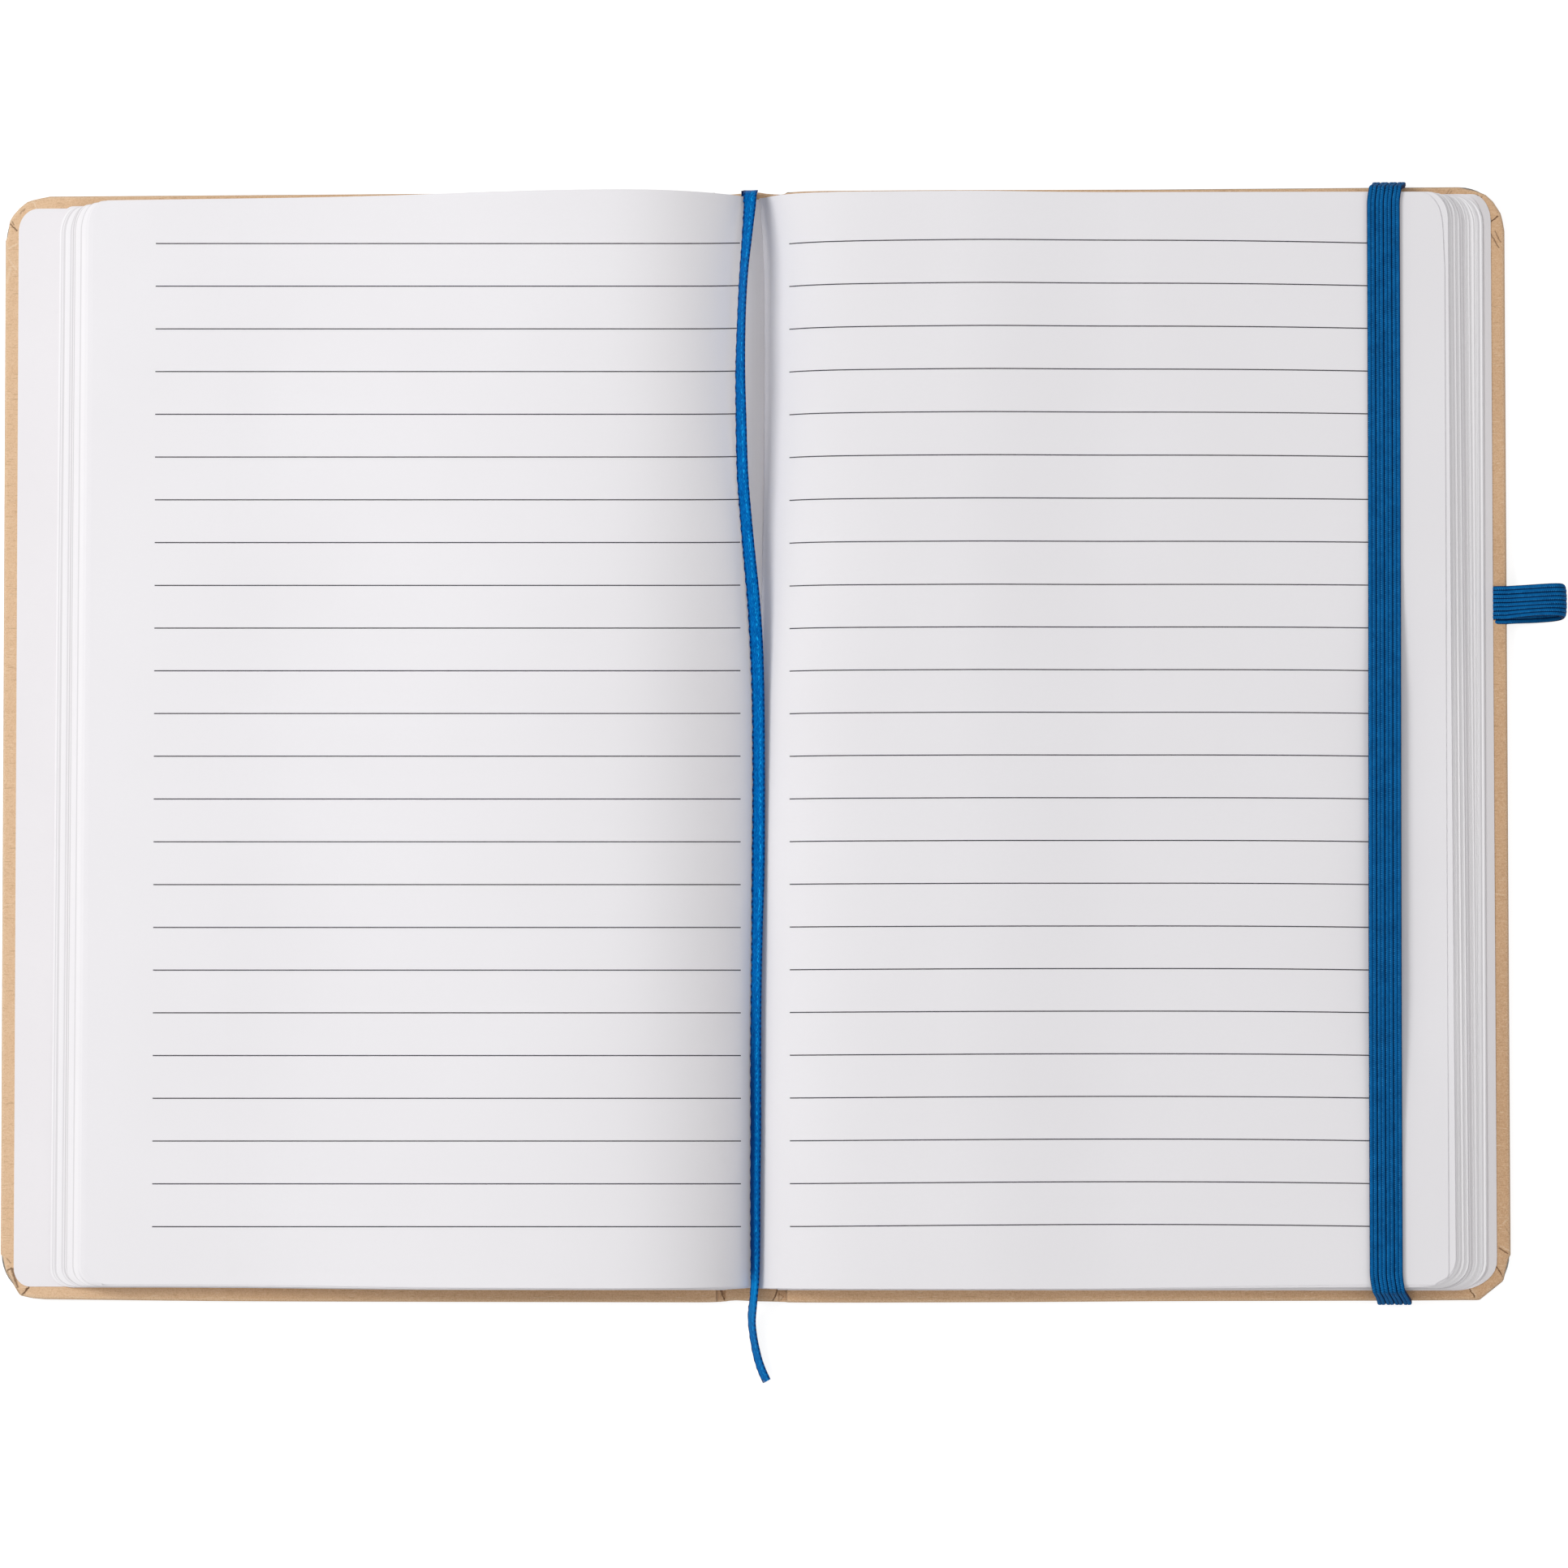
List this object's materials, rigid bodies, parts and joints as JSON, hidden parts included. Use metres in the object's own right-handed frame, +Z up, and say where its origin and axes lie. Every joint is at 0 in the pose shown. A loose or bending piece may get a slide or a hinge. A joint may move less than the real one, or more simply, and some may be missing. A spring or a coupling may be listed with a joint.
{
  "type": "notebook",
  "caption": "Hard-cover kraft notebook lying open at ruled white pages, with a blue elastic band, a pen loop and a ribbon marker.",
  "frame": {"origin": "middle of the spine's outer face, which is level with the outer faces of both covers", "axes": "+X right across the open spread, +Y from the tail to the head of the pages, +Z up from the covers to the reader"},
  "size_m": [0.2961, 0.2267, 0.0178],
  "materials": {
    "kraft": "uncoated brown kraft card with fine fibres, matte",
    "greyboard": "grey bookbinder's board, hidden",
    "gauze": "open white gauze stiffened with glue, hidden",
    "endpaper": "heavier white paper, matte",
    "pages": "smooth white writing paper, matte",
    "ruled_ink": "thin grey printed lines",
    "blue_elastic": "ribbed knitted elastic, matte",
    "blue_satin": "woven satin ribbon with a soft sheen"
  },
  "bodies": {
    "book": {"back_board": "greyboard", "spine_strip": "greyboard", "back_wrap": "kraft", "spine_lining": "gauze", "front_flyleaf": "endpaper", "back_endpaper": "endpaper", "page_block": "pages", "left_ruling": "ruled_ink", "right_ruling": "ruled_ink", "elastic_band": "blue_elastic", "pen_loop": "blue_elastic", "ribbon_marker": "blue_satin"},
    "front_cover": {"front_board": "greyboard", "front_wrap": "kraft", "front_pastedown": "endpaper"}
  },
  "joints": [
    {"name": "front_cover_hinge", "type": "hinge", "parent": "book", "child": "front_cover", "pos_m": [-0.00585, 0, 0.0004], "axis": [0, -1, 0], "range_deg": [0, 90]}
  ]
}
